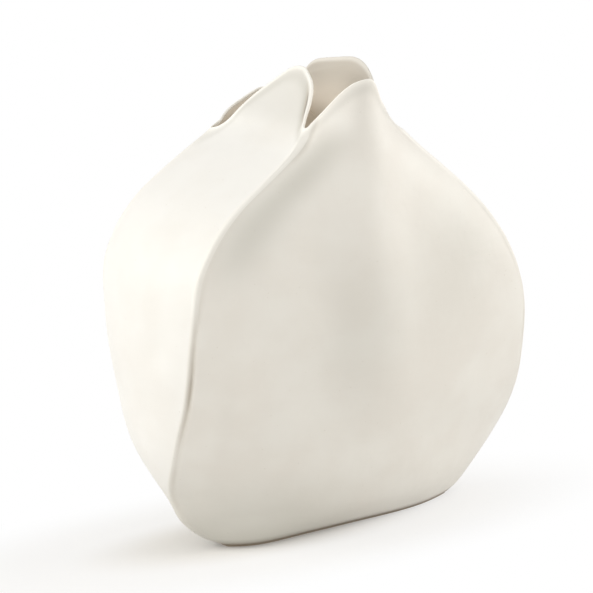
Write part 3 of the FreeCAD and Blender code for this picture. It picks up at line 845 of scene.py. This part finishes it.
class Nose:
    """The pinched corner below a gusset as functions of its share round from the front
    panel, -1, to the back panel, 1, and the height."""

    def __init__(self, front_seam, back_seam):
        self.front_seam = front_seam
        self.back_seam = back_seam
        self.gusset = front_seam.gusset

    def outside(self, share, z):
        """Round the corner: the front seam, the last of the gusset and the back seam."""
        runs = (share + 1) * 1.5
        front_part = self.front_seam.outside(np.clip(runs, 0, 1), z)
        back_part = self.back_seam.outside(np.clip(3 - runs, 0, 1), z)
        side_part = self.gusset.outside(np.clip(2 * runs - 3, -1, 1), z)
        across = runs[..., None] + 0 * side_part
        return np.where(across < 1, front_part, np.where(across > 2, back_part, side_part))

    def inside(self, share, z):
        """Straight across the corner of the hollow."""
        near = self.front_seam.inside(0.5, z)
        far = self.back_seam.inside(0.5, z)
        return near + (far - near) * (share[..., None] + 1) / 2

    def piece(self, name):
        """The mesh, in rings up from the sill to the gusset's point."""
        share = np.concatenate([np.linspace(-1, -1 / 3, 13), [0], np.linspace(1 / 3, 1, 13)])[None, :]
        z = np.linspace(SILL, TIP, 22)[:, None]
        side = self.gusset.side
        over = np.clip(1.5 * (1 - np.abs(share)), 0, 1)
        values = {
            "crown": NOSE_CROWN * hump(share, 0.6) + 0 * z,
            "line": tooled_line(STRIP * (1 - 2 * over), z, side),
            "shade": (1 - NOSE_PALER * over) * foot_shade(SIDE_REACH * side, z),
        }
        marks = {mark: np.concatenate([value, 0 * value], axis=1) for mark, value in values.items()}
        rings = np.concatenate([self.outside(share, z), self.inside(share, z)[:, ::-1]], axis=1)
        return shell(name, rings, False, marks)


finish(Nose(front_left, back_left).piece("left_nose"), "left_corner_seam",
       porcelain("left_nose_porcelain", FRONT_WHITE, FRONT_CLOUD, start=(0.45, 0.9, 0.2)))
finish(Nose(front_right, back_right).piece("right_nose"), "right_corner_seam",
       porcelain("right_nose_porcelain", FRONT_WHITE, FRONT_CLOUD, start=(0.95, 0.4, 0.6)))

# Camera. It looks from 33 degrees round to the left of the front, a little from above, with
# a long lens; the picture leans a little.
CAMERA_SPOT = np.array([-1206.7, -1845.1, 646.4]) * MM
CAMERA_AIM = np.array([-14.9, 4.1, 149.4]) * MM
PICTURE_PIXELS, FOCAL_PIXELS, SENSOR = 593, 3514.2, 36.0
LEAN = math.radians(-1.5)
forward = (CAMERA_AIM - CAMERA_SPOT) / np.linalg.norm(CAMERA_AIM - CAMERA_SPOT)
level_right = np.cross(forward, [0, 0, 1])
level_right /= np.linalg.norm(level_right)
level_up = np.cross(level_right, forward)
camera_right = level_right * math.cos(LEAN) + level_up * math.sin(LEAN)
camera_up = level_up * math.cos(LEAN) - level_right * math.sin(LEAN)
camera = bpy.data.objects.new("camera", bpy.data.cameras.new("camera"))
camera.data.sensor_width = SENSOR
camera.data.lens = FOCAL_PIXELS / PICTURE_PIXELS * SENSOR
camera.data.clip_end = 20
bpy.context.scene.collection.objects.link(camera)
stance = np.eye(4)
stance[:3] = np.stack([camera_right, camera_up, -forward, CAMERA_SPOT], axis=1)
camera.matrix_world = Matrix(stance.tolist())
bpy.context.scene.camera = camera

# Table. A plain pale surface that keeps the vase's shadow near the foot and, seen by the
# camera or in the glaze, brightens to white further out.
TABLE_REACH = 12
WHITE = (1, 1, 1, 1)
# The table's colour in the light that it gives back to the vase, and as it is seen.
TABLE_PLAIN, TABLE_SEEN = (0.60, 0.59, 0.57, 1), (0.90, 0.88, 0.84, 1)
# The white grows outwards over an oval: how much x and y count for, and its shift in x.
OVAL, OVAL_SHIFT = (1.4, 3.4, 1), (0.08, 0, 0)
tabletop = Glaze("tabletop")
camera_ray = tabletop.node("ShaderNodeLightPath", {}, "Is Camera Ray")
glossy_ray = tabletop.node("ShaderNodeLightPath", {}, "Is Glossy Ray")
seen = camera_ray + glossy_ray
table_spot = tabletop.node("ShaderNodeTexCoord", {}, "Object")
spread = tabletop.node("ShaderNodeVectorMath", {0: table_spot, 1: OVAL, 2: OVAL_SHIFT},
                       operation="MULTIPLY_ADD")
away = tabletop.node("ShaderNodeVectorMath", {0: spread}, "Value", operation="LENGTH")
near_white = tabletop.between(away, 0.08, 0.20) * 0.55
far_white = tabletop.between(away, 0.20, 0.42) * 0.35
lifted = seen * (0.10 + near_white + far_white)
cloth = tabletop.blend(seen, TABLE_PLAIN, TABLE_SEEN)
paper = tabletop.node("ShaderNodeBsdfDiffuse", {"Color": cloth})
bright = tabletop.node("ShaderNodeEmission", {"Color": WHITE, "Strength": 1.0})
mixed = tabletop.node("ShaderNodeMixShader", {0: lifted, 1: paper, 2: bright})
tabletop.node("ShaderNodeOutputMaterial", {0: mixed})
table = bpy.data.objects.new("table", bpy.data.meshes.new("table"))
table_corners = [(x * TABLE_REACH, y * TABLE_REACH, 0) for x, y in ((-1, -1), (1, -1), (1, 1), (-1, 1))]
table.data.from_pydata(table_corners, [], [(0, 1, 2, 3)])
table.data.materials.append(tabletop.material)
bpy.context.scene.collection.objects.link(table)

# Light and room. A window's soft light from the left and a little behind, a reflector at the
# right, a low weaker fill in front at the left, and an even pale room, white to the camera.
LAMP_AIM = Vector((0, 0, 0.15))
ROOM_LIGHT, ROOM_COLOUR = 0.62, (1, 0.99, 0.97, 1)


def lamp(name, spot, power, size, colour):
    """A square soft lamp at a spot, turned towards the middle of the vase."""
    light = bpy.data.objects.new(name, bpy.data.lights.new(name, "AREA"))
    light.data.energy = power
    light.data.size = size
    light.data.color = colour
    light.location = spot
    light.rotation_euler = (LAMP_AIM - Vector(spot)).to_track_quat("-Z", "Y").to_euler()
    bpy.context.scene.collection.objects.link(light)


lamp("window", spot=(-1.95, 0.9, 1.0), power=25, size=1.3, colour=(1.0, 0.995, 0.99))
lamp("reflector", spot=(2.2, -0.8, 0.8), power=28, size=1.3, colour=(1.0, 0.985, 0.965))
lamp("low_fill", spot=(-1.45, -1.95, 0.45), power=13, size=1.0, colour=(1.0, 0.995, 0.99))
world = bpy.data.worlds.new("room")
bpy.context.scene.world = world
world.use_nodes = True
sky = world.node_tree
daylight = sky.nodes["Background"]
daylight.inputs[0].default_value = ROOM_COLOUR
daylight.inputs[1].default_value = ROOM_LIGHT
white = sky.nodes.new("ShaderNodeBackground")
white.inputs[0].default_value = WHITE
white.inputs[1].default_value = 1.0
looked_at = sky.nodes.new("ShaderNodeLightPath")
chosen = sky.nodes.new("ShaderNodeMixShader")
sky.links.new(looked_at.outputs["Is Camera Ray"], chosen.inputs[0])
sky.links.new(daylight.outputs[0], chosen.inputs[1])
sky.links.new(white.outputs[0], chosen.inputs[2])
sky.links.new(chosen.outputs[0], sky.nodes["World Output"].inputs[0])
bpy.context.scene.view_settings.view_transform = "Standard"
